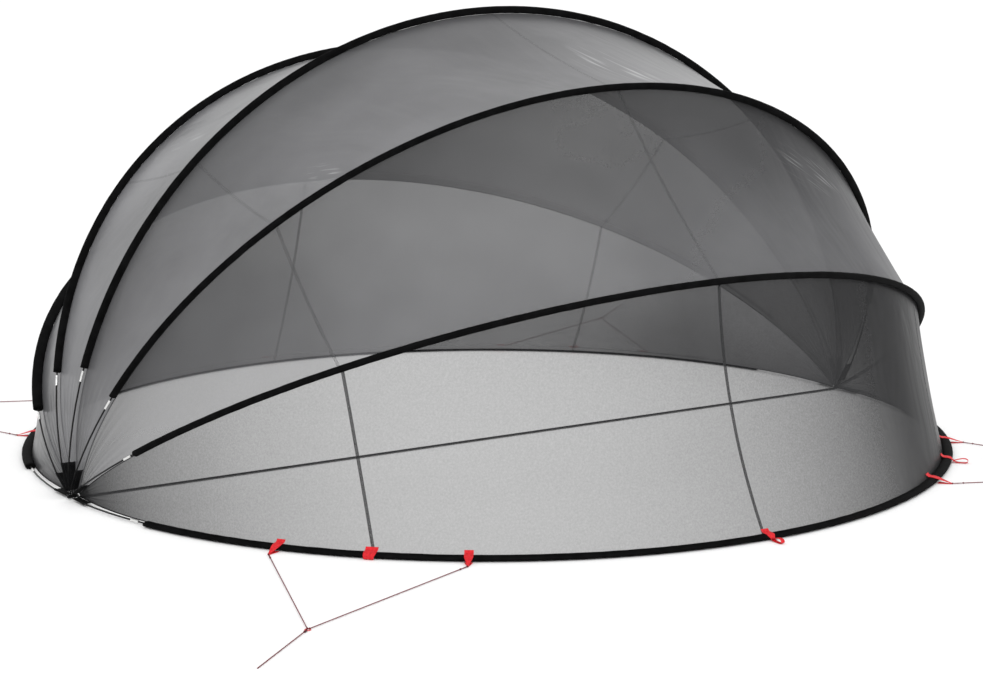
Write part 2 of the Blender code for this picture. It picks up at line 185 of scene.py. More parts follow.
def bump_of(tree, height, strength, distance, under=None):
    """The normal of a relief, laid over the normal of another one."""
    relief = tree.nodes.new("ShaderNodeBump")
    feed(tree, relief.inputs["Height"], height)
    feed(tree, relief.inputs["Strength"], strength)
    feed(tree, relief.inputs["Distance"], distance)
    if under is not None:
        feed(tree, relief.inputs["Normal"], under)
    return relief.outputs["Normal"]


def tones_of(tree, share, dark, light, low=0.0, high=1.0):
    """The colour between two tones, where the share runs from low to high."""
    ramp = tree.nodes.new("ShaderNodeValToRGB")
    for stop, position, tone in zip(ramp.color_ramp.elements, (low, high), (dark, light)):
        stop.position = position
        stop.color = (*tone, 1.0)
    feed(tree, ramp.inputs["Fac"], share)
    return ramp.outputs["Color"]


def new_group(name, inputs, outputs):
    """A node group with these sockets, as pairs of a name and a kind. Gives what comes in and goes out."""
    group = bpy.data.node_groups.new(name, "ShaderNodeTree")
    for direction, sockets in (("INPUT", inputs), ("OUTPUT", outputs)):
        for socket, kind in sockets:
            group.interface.new_socket(socket, in_out=direction, socket_type=f"NodeSocket{kind}")
    return group, group.nodes.new("NodeGroupInput").outputs, group.nodes.new("NodeGroupOutput").inputs


def place_group(tree, group, **values):
    """Places a group in a material with its own values, and gives the group's outputs."""
    placed = tree.nodes.new("ShaderNodeGroup")
    placed.node_tree = group
    for name, value in values.items():
        feed(tree, placed.inputs[name], value)
    return placed.outputs


# A plain weave in metres: rows of threads that pass over and under each other, as a height.
weave, weave_in, weave_out = new_group(
    "plain_weave", (("Place", "Vector"), ("Thread", "Float")), (("Height", "Float"),)
)
weave_split = weave.nodes.new("ShaderNodeSeparateXYZ")
feed(weave, weave_split.inputs[0], weave_in["Place"])
weave_waves = []
for axis in ("X", "Y"):
    weave_turns = maths(weave, "DIVIDE", weave_split.outputs[axis], weave_in["Thread"])
    weave_waves.append(maths(weave, "SINE", maths(weave, "MULTIPLY", weave_turns, math.pi)))
feed(weave, weave_out["Height"], maths(weave, "ABSOLUTE", maths(weave, "MULTIPLY", *weave_waves)))


def woven_material(name, dark, light, roughness, thread, patch_size, bump, gloss=0.25):
    """Woven cloth: two close tones in soft patches, and a bump of the weave over one of slow creases."""
    material, tree, shader = new_material(name, roughness)
    place = tree.nodes.new("ShaderNodeTexCoord").outputs
    patches = noise_of(tree, place["Object"], scale=1.0 / patch_size, detail=5.0)
    feed(tree, shader.inputs["Base Color"], tones_of(tree, patches, dark, light, low=0.35, high=0.70))
    threads = place_group(tree, weave, Place=place["UV"], Thread=thread)
    creases = bump_of(tree, patches, strength=0.5, distance=bump * 4.0)
    relief = bump_of(tree, threads["Height"], strength=0.6, distance=bump, under=creases)
    feed(tree, shader.inputs["Normal"], relief)
    shader.inputs["Specular IOR Level"].default_value = gloss
    return material


sleeve_cloth = woven_material(
    "black_sleeve_cloth",
    dark=(0.0018, 0.0018, 0.0019),
    light=(0.0045, 0.0045, 0.0048),
    roughness=0.72,
    thread=0.0008,
    patch_size=0.05,
    bump=0.0004,
    gloss=0.04,
)

bpy.ops.mesh.primitive_circle_add(
    vertices=SLEEVE_SIDES, radius=0.5, location=(-RING_RADIUS, 0, 0), rotation=(math.pi / 2, 0, 0)
)
sleeve = bpy.context.object
sleeve.scale = (SLEEVE_WIDTH, SLEEVE_HEIGHT, 1.0)
settle(sleeve)
sleeve.data.transform(Matrix.Rotation(SLEEVE_START, 4, "Z"))
bpy.ops.object.mode_set(mode="EDIT")
bpy.ops.mesh.select_all(action="SELECT")
bpy.ops.mesh.spin(
    steps=SLEEVE_STEPS,
    angle=math.pi - 2 * SLEEVE_START,
    center=(0, 0, 0),
    axis=(0, 0, -1),
    use_auto_merge=False,
)
bpy.ops.object.mode_set(mode="OBJECT")
sleeve_mesh = bmesh.new()
sleeve_mesh.from_mesh(sleeve.data)
rims = [edge for edge in sleeve_mesh.edges if edge.is_boundary]
for face in bmesh.ops.holes_fill(sleeve_mesh, edges=rims)["faces"]:
    for drawn_in, stands_out in SLEEVE_GATHERS:
        bmesh.ops.inset_region(sleeve_mesh, faces=[face], thickness=drawn_in, depth=stands_out)
bmesh.ops.recalc_face_normals(sleeve_mesh, faces=sleeve_mesh.faces)
# The cloth's threads run along the sleeve and round it.
threads_map = sleeve_mesh.loops.layers.uv.new("along_and_round")
for face in sleeve_mesh.faces:
    first = None
    for corner in face.loops:
        spot = corner.vert.co
        along = math.atan2(-spot.y, -spot.x) * RING_RADIUS
        outward = (math.hypot(spot.x, spot.y) - RING_RADIUS) / SLEEVE_WIDTH
        share = math.atan2(spot.z / SLEEVE_HEIGHT, outward) / math.tau
        if first is None:
            first = share
        share -= round(share - first)
        corner[threads_map].uv = (along, share * SLEEVE_ROUND)
sleeve_mesh.to_mesh(sleeve.data)
sleeve_mesh.free()
sleeve.data.shade_smooth()
rucks = bpy.data.textures.new("sleeve_rucks", "CLOUDS")
rucks.noise_scale = RUCK_SIZE
rucks.noise_depth = 2
ruck = sleeve.modifiers.new("rucks", "DISPLACE")
ruck.texture = rucks
ruck.texture_coords = "LOCAL"
ruck.strength = SLEEVE_RUCK
ruck.mid_level = 0.5
apply_all(sleeve)
sleeve.data.materials.append(sleeve_cloth)
sleeve.name = "ring_front_sleeve_cloth"
for name, body, angle, rise in reversed(HOOPS):
    cloth = sleeve if name == "ring_front" else copy_of(sleeve, f"{name}_sleeve_cloth")
    width, height = SLEEVE_SIZES[name]
    for vertex in cloth.data.vertices:
        reach = vertex.co.xy.length
        vertex.co.xy *= (RING_RADIUS + (reach - RING_RADIUS) * width / SLEEVE_WIDTH) / reach
        vertex.co.z *= height / SLEEVE_HEIGHT
    cloth.scale.y = rise / RING_RADIUS
    turn_up(cloth, angle)
    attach(cloth, body)
    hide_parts(f"{name}_sleeve")

# Each bow is one springy glass-fibre rod, 9 mm thick and black with a low gloss. It is bent into half an
# oval and its ends stand in the two hubs. Only the lengths between hub and sleeve are bare.
POLE_RADIUS = 0.0045
POLE_FOOT = 0.160


def mapped(tree, value, to, source=(0.0, 1.0), smooth=False):
    """A value spread from one range over another, each a pair of its low and its high end."""
    spread = tree.nodes.new("ShaderNodeMapRange")
    if smooth:
        spread.interpolation_type = "SMOOTHSTEP"
    feed(tree, spread.inputs["Value"], value)
    for name, end in zip(("From Min", "From Max", "To Min", "To Max"), (*source, *to)):
        feed(tree, spread.inputs[name], end)
    return spread.outputs["Result"]


def mapping(tree, place, scale, rotation=(0.0, 0.0, 0.0), location=(0.0, 0.0, 0.0), kind="POINT"):
    """A place moved, turned and scaled. With the kind TEXTURE this is done to the pattern that reads it."""
    moved = tree.nodes.new("ShaderNodeMapping")
    moved.vector_type = kind
    for name, value in (("Vector", place), ("Location", location), ("Rotation", rotation), ("Scale", scale)):
        feed(tree, moved.inputs[name], value)
    return moved.outputs["Vector"]


# A fine grain in two close tones, as on a drawn, turned or moulded surface.
grain, grain_in, grain_out = new_group(
    "fine_grain",
    (("Place", "Vector"), ("Scale", "Float"), ("Detail", "Float"), ("Dark", "Color"), ("Light", "Color")),
    (("Color", "Color"), ("Share", "Float")),
)
grain_share = noise_of(grain, grain_in["Place"], grain_in["Scale"], grain_in["Detail"])
grain_tones = grain.nodes.new("ShaderNodeMixRGB")
for name, value in (("Fac", grain_share), ("Color1", grain_in["Dark"]), ("Color2", grain_in["Light"])):
    feed(grain, grain_tones.inputs[name], value)
feed(grain, grain_out["Color"], grain_tones.outputs["Color"])
feed(grain, grain_out["Share"], grain_share)


def grained_material(
    name, roughness, dark, light, scale, detail=2.0, metallic=0.0, stretch=None, dulled=None
):
    """A finish in two close tones of fine grain, which may be stretched. It varies the roughness between
    the two values of dulled, if there are any. Also gives the share of the lighter tone."""
    material, tree, shader = new_material(name, roughness, metallic)
    place = tree.nodes.new("ShaderNodeTexCoord").outputs["Object"]
    if stretch:
        place = mapping(tree, place, stretch)
    grained = place_group(
        tree, grain, Place=place, Scale=scale, Detail=detail, Dark=(*dark, 1.0), Light=(*light, 1.0)
    )
    feed(tree, shader.inputs["Base Color"], grained["Color"])
    if dulled:
        feed(tree, shader.inputs["Roughness"], mapped(tree, grained["Share"], dulled))
    return material, tree, shader, grained["Share"]


rod_finish, _, shader, _ = grained_material(
    "black_glass_fibre",
    roughness=0.32,
    dark=(0.003, 0.003, 0.003),
    light=(0.009, 0.009, 0.010),
    scale=60.0,
    detail=6.0,
    stretch=(4.0, 0.4, 4.0),
    dulled=(0.25, 0.45),
)
shader.inputs["Specular IOR Level"].default_value = 0.15

for name, body, angle, rise in HOOPS:
    bpy.ops.curve.primitive_bezier_circle_add(radius=RING_RADIUS, location=(0, 0, 0))
    rod = bpy.context.object
    rod.name = f"{name}_rod"
    rod.data.resolution_u = 40
    rod.data.bevel_depth = POLE_RADIUS
    rod.data.bevel_resolution = 3
    rod.scale.y = rise / RING_RADIUS
    settle(rod)
    pick(rod)
    bpy.ops.object.convert(target="MESH")
    rod = bpy.context.object
    bpy.ops.object.mode_set(mode="EDIT")
    bpy.ops.mesh.select_all(action="SELECT")
    bpy.ops.mesh.bisect(
        plane_co=(0, -POLE_FOOT, 0), plane_no=(0, 1, 0), use_fill=True, clear_outer=True
    )
    bpy.ops.object.mode_set(mode="OBJECT")
    set_faces_out(rod)
    rod.data.shade_smooth()
    rod.data.materials.clear()
    rod.data.materials.append(rod_finish)
    turn_up(rod, angle)
    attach(rod, body)
    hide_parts(f"{name}_pole")

# A ferrule of bare metal tube joins the rod's sections just below each end of its sleeve. Both its rims
# are rolled in, and two crimped grooves hold it to the rod.
FERRULE_AT = 0.612
FERRULE_LENGTH = 0.056
FERRULE_RADIUS = 0.0070
GROOVE_AT = 0.016
GROOVE_HALF = 0.003
GROOVE_DRAWN = 0.86
ferrule_metal = grained_material(
    "bare_ferrule_metal",
    roughness=0.28,
    dark=(0.62, 0.62, 0.61),
    light=(0.90, 0.90, 0.89),
    scale=220.0,
    detail=8.0,
    metallic=1.0,
    dulled=(0.18, 0.42),
)[0]

bpy.ops.mesh.primitive_cylinder_add(vertices=24, radius=FERRULE_RADIUS, depth=FERRULE_LENGTH)
ferrule = bpy.context.object
bpy.ops.object.mode_set(mode="EDIT")
for end in (-1, 1):
    for beside in (-GROOVE_HALF, 0.0, GROOVE_HALF):
        bpy.ops.mesh.select_all(action="SELECT")
        bpy.ops.mesh.bisect(plane_co=(0, 0, end * GROOVE_AT + beside), plane_no=(0, 0, 1))
bpy.ops.object.mode_set(mode="OBJECT")
for vertex in ferrule.data.vertices:
    if abs(abs(vertex.co.z) - GROOVE_AT) < GROOVE_HALF / 6:
        vertex.co.xy *= GROOVE_DRAWN
bevel = ferrule.modifiers.new("rolled_rims", "BEVEL")
bevel.width = 0.0012
bevel.segments = 2
bevel.limit_method = "ANGLE"
apply_all(ferrule)
ferrule.data.shade_smooth()
ferrule.data.materials.append(ferrule_metal)
for name, body, angle, rise in HOOPS:
    turn = math.asin(FERRULE_AT / rise)
    for side, mark in ((-1, "left"), (1, "right")):
        tube = copy_of(ferrule, f"{name}_ferrule_{mark}")
        run = Vector((-side * RING_RADIUS * math.sin(turn), -rise * math.cos(turn), 0.0))
        spot = Vector((side * RING_RADIUS * math.cos(turn), -rise * math.sin(turn), 0.0))
        tube.rotation_euler = run.to_track_quat("Z", "Y").to_euler()
        tube.location = spot
        settle(tube)
        turn_up(tube, angle)
        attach(tube, body)
bpy.data.objects.remove(ferrule)

# The skin is six gores of thin tinted film, each welded from four panels and stretched from one hoop's
# sleeve to the next. It is drawn in a little between the hoops, and gathered where it runs to the hubs.
FILM_TUCK = 0.0008
FILM_BESIDE = 0.0006
FILM_CORNER_INSET = 0.058
FILM_CORNER_TURN = math.radians(0.35)
FILM_SAG = 0.012
GATHER_REACH = 0.75
GATHER_DEPTH = 0.0022
GATHER_FOLDS = 7
GATHER_SKEW = 3
SLACK_SHARE = 1.6
SLACK_SCALE = 2.3
# A gore's flat width is taken over its middle and its length along its bow. Its area is less than their
# product, because it narrows to a corner at each hub.
GORE_WIDTH = 1.22
GORE_LENGTH = 7.5


def film_edge(turn, hoop):
    """A point of the film's edge on a hoop, as (along the hinge line, out from it). The edge is sewn to
    the inner side of the sleeve, and runs free beside the bare rod, farther in towards the hub."""
    name, _, _, rise = hoop
    outward = Vector((-rise * math.cos(turn), RING_RADIUS * math.sin(turn))).normalized()
    bare = max(0.0, 1.0 - min(turn, math.pi - turn) / SLEEVE_START)
    inset = SLEEVE_SIZES[name][0] / 2 - FILM_TUCK
    inset += (FILM_CORNER_INSET - inset) * bare ** 2
    return Vector((-RING_RADIUS * math.cos(turn), rise * math.sin(turn))) - outward * inset


def on_hoop(spot, beside, angle):
    turn = math.radians(angle)
    return Vector(
        (
            spot.x,
            -spot.y * math.cos(turn) + beside * math.sin(turn),
            spot.y * math.sin(turn) + beside * math.cos(turn) + AXIS_HEIGHT,
        )
    )


def gore_point(front, back, turn, share):
    """A point of the gore between two hoops, at a turn along them and a share of the way back."""
    ends = []
    for hoop, direction in ((front, 1), (back, -1)):
        ends.append(on_hoop(film_edge(turn, hoop), FILM_BESIDE * direction, hoop[2]))
    point = ends[0].lerp(ends[1], share)
    drawn = 1 - FILM_SAG * 4 * share * (1 - share)
    point.y *= drawn
    point.z = AXIS_HEIGHT + (point.z - AXIS_HEIGHT) * drawn
    return point


def gore_normal(front, back, turn, share):
    step = 0.01
    along = gore_point(front, back, turn + step, share) - gore_point(front, back, turn - step, share)
    low = max(share - step, 0.0)
    high = min(share + step, 1.0)
    across = gore_point(front, back, turn, high) - gore_point(front, back, turn, low)
    normal = along.cross(across).normalized()
    outward = gore_point(front, back, turn, share) - Vector((0, 0, AXIS_HEIGHT))
    return normal if normal.dot(outward) > 0 else -normal


def lay_on_gore(piece, front, back, turn_low, turn_high, rucked, bow=0.0):
    """Bends a flat unit pattern onto a gore, with its middle moved by a bow along the hoops. It is tied to
    both hoops while it lies flat, where its width runs from the front hoop at 0 to the back one at 1, so
    that each point turns by its own share."""
    flat = [vertex.co.copy() for vertex in piece.data.vertices]
    shares = []
    for spot, vertex in zip(flat, piece.data.vertices):
        share = min(max(spot.y + 0.5, 0.0), 1.0)
        shares.append(share)
        vertex.co = (spot.x, 0.5 - math.sin(math.asin(1 - 2 * share) / 3), 0.0)
    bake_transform(piece)
    for spot, share, vertex in zip(flat, shares, piece.data.vertices):
        turn = turn_low + (turn_high - turn_low) * (spot.x + 0.5) + bow * 4 * share * (1 - share)
        place = gore_point(front, back, turn, share)
        lift = spot.z
        reach = RING_RADIUS - abs(place.x)
        away = place - Vector((math.copysign(RING_RADIUS, place.x), 0, AXIS_HEIGHT))
        near_hub = max(0.0, 1.0 - away.length / GATHER_REACH)
        edges = math.sin(math.pi * share)
        lift += rucked * near_hub * edges * math.cos(share * GATHER_FOLDS * math.tau + reach * GATHER_SKEW)
        lift += rucked * SLACK_SHARE * edges * noise.noise(place * SLACK_SCALE)
        vertex.co = place + gore_normal(front, back, turn, share) * lift


# How many layers of film lie over each other, and the folds and the grain in them: one everywhere, a little
# more in the patch at each hub, more where the film is gathered towards the hubs and along an edge on the
# ground, and more or less in the folds near the hubs. Reaches are distances from the hub.
PATCH_LAYERS = 0.25
PATCH_REACH = (0.150, 0.156)
GATHERED_REACH = (0.20, 2.20)
FOLDED_REACH = (0.15, 0.85)
FOLD_LAYERS = (-0.15, 0.25)
FOLDS_ALONG_AND_ACROSS = (2.0, 9.0, 1.0)
GROUNDED_WIDTH = (0.15, 0.85)
FILM_GRAIN_SCALE = 110.0
layering, layering_in, layering_out = new_group(
    "film_layers",
    (
        ("Place", "Vector"),
        ("Flat", "Vector"),
        ("Gathered", "Float"),
        ("Grounded", "Float"),
        ("Pleat", "Float"),
        ("Mottle", "Float"),
    ),
    (("Layers", "Float"), ("Folds", "Float"), ("Grain", "Float")),
)
from_middle = maths(layering, "ABSOLUTE", layering_in["Place"], kind="ShaderNodeVectorMath")
from_hub = maths(
    layering, "DISTANCE", from_middle, (RING_RADIUS, 0.0, 0.0), kind="ShaderNodeVectorMath", output="Value"
)
patch = mapped(layering, from_hub, to=(PATCH_LAYERS, 0.0), source=PATCH_REACH)
to_hub = mapped(layering, from_hub, to=(layering_in["Gathered"], 0.0), source=GATHERED_REACH, smooth=True)
near_hub = mapped(layering, from_hub, to=(1.0, 0.0), source=FOLDED_REACH, smooth=True)
pleats_place = mapping(layering, layering_in["Flat"], scale=FOLDS_ALONG_AND_ACROSS)
pleats = noise_of(layering, pleats_place, scale=1.0, detail=2.0)
even_folds = mapped(layering, pleats, to=FOLD_LAYERS, source=(0.35, 0.65))
folds = maths(layering, "MULTIPLY", even_folds, layering_in["Pleat"])
pleated = maths(layering, "MULTIPLY", near_hub, folds)
flat_split = layering.nodes.new("ShaderNodeSeparateXYZ")
feed(layering, flat_split.inputs[0], layering_in["Flat"])
to_ground = mapped(
    layering,
    flat_split.outputs["Y"],
    to=(0.0, layering_in["Grounded"]),
    source=GROUNDED_WIDTH,
    smooth=True,
)
speckle = noise_of(layering, layering_in["Place"], scale=FILM_GRAIN_SCALE, detail=2.0)
mottled = maths(layering, "MULTIPLY", mapped(layering, speckle, to=(-1.0, 1.0)), layering_in["Mottle"])
layers = maths(layering, "ADD", mottled, 1.0)
for more in (patch, to_hub, pleated, to_ground):
    layers = maths(layering, "ADD", layers, more)
feed(layering, layering_out["Layers"], layers)
feed(layering, layering_out["Folds"], pleated)
feed(layering, layering_out["Grain"], speckle)

# A spot of short glossy creases round a place on the flat film, whose glints are painted highlights added to
# the colour. Only the crests of the noise are seen, and they fade out towards the spot's edge.
CREASE_CRESTS = (0.54, 0.74)
SPOT_FADES = (1.0, 0.4)
crease_glints, crease_glints_in, crease_glints_out = new_group(
    "painted_crease_glints",
    (
        ("Flat", "Vector"),
        ("Middle", "Vector"),
        ("Reach", "Vector"),
        ("Crease", "Vector"),
        ("Lean", "Vector"),
        ("Tone", "Float"),
    ),
    (("Light", "Float"),),
)
streak_place = mapping(
    crease_glints,
    crease_glints_in["Flat"],
    crease_glints_in["Crease"],
    rotation=crease_glints_in["Lean"],
    location=crease_glints_in["Middle"],
    kind="TEXTURE",
)
streaks = noise_of(crease_glints, streak_place, scale=1.0, detail=1.0)
glinted = mapped(crease_glints, streaks, to=(0.0, crease_glints_in["Tone"]), source=CREASE_CRESTS)
spot_place = mapping(
    crease_glints, crease_glints_in["Flat"], crease_glints_in["Reach"], location=crease_glints_in["Middle"], kind="TEXTURE"
)
off_middle = maths(crease_glints, "LENGTH", spot_place, kind="ShaderNodeVectorMath", output="Value")
in_spot = mapped(crease_glints, off_middle, to=(0.0, 1.0), source=SPOT_FADES)
feed(crease_glints, crease_glints_out["Light"], maths(crease_glints, "MULTIPLY", glinted, in_spot))

FILM_ROUGHNESS = 0.3
LEAST_STRAIGHT = 0.08
INNER_SHINE = 0.2
STRIP_EDGE = 0.004
STRIP_PAINTED_LIGHT = 0.78
OUTER_BLUE = 1.04
INNER_BLUE = 1.02
BLOOM = (0.75, 1.25)
BLOOM_SCALE = 1.3
PULL_SCALE = (GORE_LENGTH * 1.1, GORE_WIDTH * 0.5, 1.0)
PULL_TURN = (0.0, 0.0, 0.35)


def film_material(
    name,
    lit_tint,
    inner_lit_tint,
    painted_light_to_front,
    through,
    slant,
    gloss,
    gathered,
    grounded=0.0,
    pleat=1.0,
    mottle=0.08,
    creases=(),
    facing=1.1,
):
    """Tinted film. Each face's tone is the film's tint with painted light and shade in it: the outer and the
    inner face, and each gore, are lit and shaded copies of one film, and a painted gradient of light
    multiplies the tone towards the hoop in front. through is the share of light that one layer lets through
    where it is seen straight on. Less comes through where the film is seen aslant, with slant as the power
    of that, where it is gathered in more layers towards the hubs, and towards an edge on the ground. pleat
    scales the folds near the hubs, mottle the fine unevenness, and creases the spots with a few sharp
    creases, whose glints are painted highlights. From the share of the width that facing gives, a pale strip
    is welded to the inner face and hides the sleeve of the hoop behind; its tone is painted light, in the
    place of the light that it holds back."""
    material, tree, shader = new_material(name, FILM_ROUGHNESS)
    place = tree.nodes.new("ShaderNodeTexCoord").outputs
    inside = tree.nodes.new("ShaderNodeNewGeometry").outputs["Backfacing"]
    flat_map = tree.nodes.new("ShaderNodeSeparateXYZ")
    feed(tree, flat_map.inputs[0], place["UV"])
    across = flat_map.outputs["Y"]
    film = place_group(
        tree,
        layering,
        Place=place["Object"],
        Flat=place["UV"],
        Gathered=gathered,
        Grounded=grounded,
        Pleat=pleat,
        Mottle=mottle,
    )

    aslant = tree.nodes.new("ShaderNodeLayerWeight").outputs["Facing"]
    straight = mapped(tree, aslant, to=(1.0, LEAST_STRAIGHT))
    way = maths(tree, "DIVIDE", film["Layers"], maths(tree, "POWER", straight, slant))
    let_through = maths(tree, "POWER", through, way)
    strip = mapped(tree, across, to=(0.0, 1.0), source=(facing - STRIP_EDGE, facing))
    held_back = maths(tree, "MULTIPLY", maths(tree, "MULTIPLY", strip, inside), let_through)
    passed = maths(tree, "SUBTRACT", let_through, held_back)
    feed(tree, shader.inputs["Alpha"], maths(tree, "SUBTRACT", 1.0, passed))

    # Painted light and shade: each face's tone is the film's tint as lit where it lies, so the outer and
    # inner faces and the gores are lit and shaded copies of one film.
    outer_tone = (lit_tint, lit_tint, lit_tint * OUTER_BLUE)
    inner_tone = (inner_lit_tint, inner_lit_tint, inner_lit_tint * INNER_BLUE)
    tone = tones_of(tree, inside, outer_tone, inner_tone)
    # Painted light across each gore: the tone is multiplied towards the hoop in front, brighter on some
    # gores and darker on others.
    lit_to_front = mapped(tree, across, to=(painted_light_to_front, 1.0))
    bloom = noise_of(tree, place["Object"], scale=BLOOM_SCALE, detail=4.0)
    bloomed = mapped(tree, bloom, to=BLOOM, source=(0.30, 0.75))
    for factor in (lit_to_front, bloomed):
        tone = maths(tree, "MULTIPLY", tone, factor, kind="ShaderNodeVectorMath")
    # Painted light: the pale strip is given a tone in the place of the light that it holds back, so it looks
    # lit through while the sleeve behind it is hidden.
    lights = [maths(tree, "MULTIPLY", held_back, STRIP_PAINTED_LIGHT)]
    # Painted highlights: the glints of the creases are added to the colour.
    for glint_tone, middle, reach, crease, lean in creases:
        glinting_film = place_group(
            tree,
            crease_glints,
            Flat=place["UV"],
            Middle=(*middle, 0.0),
            Reach=(*reach, 1.0),
            Crease=(*crease, 1.0),
            Lean=(0.0, 0.0, lean),
            Tone=glint_tone,
        )
        lights.append(glinting_film["Light"])
    for light in lights:
        tone = maths(tree, "ADD", tone, light, kind="ShaderNodeVectorMath")
    feed(tree, shader.inputs["Base Color"], tone)
    shine = maths(tree, "MULTIPLY", mapped(tree, inside, to=(1.0, INNER_SHINE)), gloss)
    feed(tree, shader.inputs["Specular IOR Level"], shine)

    pulls_place = mapping(tree, place["UV"], scale=PULL_SCALE, rotation=PULL_TURN)
    pulls = noise_of(tree, pulls_place, scale=2.2, detail=3.0, distortion=0.6)
    slack = bump_of(tree, pulls, strength=0.5, distance=0.03)
    ridges = bump_of(tree, film["Folds"], strength=0.25, distance=0.02, under=slack)
    fine = bump_of(tree, film["Grain"], strength=0.12, distance=0.001, under=ridges)
    feed(tree, shader.inputs["Normal"], fine)
    return material


# Spots of creases with painted glints: tone of the painted glints, middle and reach on the flat gore, size
# of one crease there, and how far they lean.
IN_A_TO_B = ((0.15, (0.660, 0.70), (0.045, 0.16), (0.0080, 0.09), 0.36),)
IN_B_TO_C = (
    (0.24, (0.536, 0.34), (0.030, 0.34), (0.0050, 0.34), 0.026),
    (0.22, (0.298, 0.16), (0.010, 0.16), (0.0040, 0.12), 0.114),
)
IN_C_TO_D = ((0.16, (0.288, 0.62), (0.010, 0.25), (0.0050, 0.25), 0.03),)
# Name, tones of the outer and the inner face with their painted light and shade, painted light towards the
# hoop in front, light let through, power of the slant, gloss, layers gathered at the hubs, and what differs
# from the other films.
films = {}
for name, lit_tint, inner_lit_tint, painted_light_to_front, through, slant, gloss, gathered, extras in (
    ("front_film", 0.028, 0.081, 1.00, 0.490, 1.74, 0.02, 0.16, {"pleat": 0.0, "mottle": 0.25}),
    ("film_a_to_b", 0.034, 0.001, 4.03, 0.414, 0.96, 0.02, 0.06, {"creases": IN_A_TO_B}),
    ("film_b_to_c", 0.093, 0.044, 1.78, 0.489, 1.60, 0.24, 1.02, {"facing": 0.905, "creases": IN_B_TO_C}),
    ("film_c_to_d", 0.182, 0.093, 0.70, 0.485, 1.39, 0.29, 1.37, {"facing": 0.895, "creases": IN_C_TO_D}),
    ("film_d_to_e", 0.101, 0.084, 1.39, 0.469, 2.31, 0.28, 1.40, {"facing": 0.940}),
    ("back_film", 0.046, 0.130, 1.56, 0.335, 1.25, 0.24, 1.55, {"grounded": 0.46, "facing": 0.978}),
):
    films[name] = film_material(name, lit_tint, inner_lit_tint, painted_light_to_front, through, slant, gloss, gathered, **extras)
# Each seam's way along the hoops and its bow, in degrees.
EVEN_SEAMS = ((45.0, 0.0), (90.0, 0.0), (135.0, 0.0))
FRONT_SEAMS = ((45.2, 0.3), (89.85, -0.85), (134.8, 0.0))
# Name, CAD piece, place of the front hoop in the row, film, how much of the light each face of a seam
# holds back, and the seams.
GORES = (
    ("front_gore", "film_ring_front_to_hoop_a", 0, "front_film", 0.60, FRONT_SEAMS),
    ("gore_a_to_b", "film_hoop_a_to_hoop_b", 1, "film_a_to_b", 0.16, EVEN_SEAMS),
    ("gore_b_to_c", "film_hoop_b_to_hoop_c", 2, "film_b_to_c", 0.12, EVEN_SEAMS),
    ("gore_c_to_d", "film_hoop_c_to_hoop_d", 3, "film_c_to_d", 0.12, EVEN_SEAMS),
    ("gore_d_to_e", "film_hoop_d_to_hoop_e", 4, "film_d_to_e", 0.12, EVEN_SEAMS),
    ("back_gore", "film_hoop_e_to_ring_back", 5, "back_film", 0.30, EVEN_SEAMS),
)
CUTS_ALONG = 180
CUTS_ACROSS = 26
SEAM_WIDTH = 0.017
SEAM_THICKNESS = 0.0012

for name, node, place_in_row, finish, seam_opacity, seam_places in GORES:
    seam_film, tree, shader, weld = grained_material(
        f"{name}_weld",
        roughness=0.45,
        dark=(0.010, 0.010, 0.011),
        light=(0.030, 0.030, 0.032),
        scale=90.0,
    )
    feed(tree, shader.inputs["Normal"], bump_of(tree, weld, strength=0.4, distance=0.001))
    shader.inputs["Alpha"].default_value = seam_opacity
    shader.inputs["Specular IOR Level"].default_value = 0.3
    front = HOOPS[place_in_row]
    back = HOOPS[place_in_row + 1]
    bpy.ops.mesh.primitive_grid_add(x_subdivisions=CUTS_ALONG, y_subdivisions=CUTS_ACROSS, size=1.0)
    gore = bpy.context.object
    gore.name = name
    lay_on_gore(gore, front, back, FILM_CORNER_TURN, math.pi - FILM_CORNER_TURN, GATHER_DEPTH)
    gore.data.update()
    middle_face = gore.data.polygons[len(gore.data.polygons) // 2]
    if middle_face.normal.dot(middle_face.center) < 0:
        gore.data.flip_normals()
    gore.data.shade_smooth()
    gore.data.materials.append(films[finish])
    gore.visible_shadow = False
    gore.visible_diffuse = False
    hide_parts(node)
    for number, (seam_turn, bow) in enumerate(seam_places):
        bpy.ops.mesh.primitive_grid_add(x_subdivisions=2, y_subdivisions=CUTS_ACROSS, size=1.0)
        seam = bpy.context.object
        seam.name = f"{name}_seam_{number + 1}"
        solid = seam.modifiers.new("thickness", "SOLIDIFY")
        solid.thickness = SEAM_THICKNESS
        solid.offset = 0.0
        apply_all(seam)
        half = SEAM_WIDTH / 2 / RING_RADIUS
        middle = math.radians(seam_turn)
        lay_on_gore(seam, front, back, middle - half, middle + half, GATHER_DEPTH, math.radians(bow))
        set_faces_out(seam)
        seam.data.materials.append(seam_film)
        seam.visible_shadow = False
        seam.visible_diffuse = False

# Between hub and sleeve the film's edges run beside the bare rod and in under the end of the sleeve. The
# hoops' edges are welded seams, and the two ends of the skin and the front hoop are bound with black tape.
HEM_WIDTH = 0.011
WELD_WIDTH = 0.007
HEM_THICKNESS = 0.0020
HEM_LAP = 0.008
HEM_TURN = SLEEVE_START - FILM_CORNER_TURN + HEM_LAP


def strip_of(name, cuts_along, cuts_across, length, width):
    """A flat strip of cloth along X, with its threads mapped in metres, ready to be shaped."""
    bpy.ops.mesh.primitive_grid_add(x_subdivisions=cuts_along, y_subdivisions=cuts_across, size=1.0)
    strip = bpy.context.object
    strip.name = name
    for corner in strip.data.uv_layers.active.data:
        corner.uv = (corner.uv[0] * length, corner.uv[1] * width)
    for vertex in strip.data.vertices:
        vertex.co = (vertex.co.x * length, vertex.co.y * width, 0.0)
    return strip


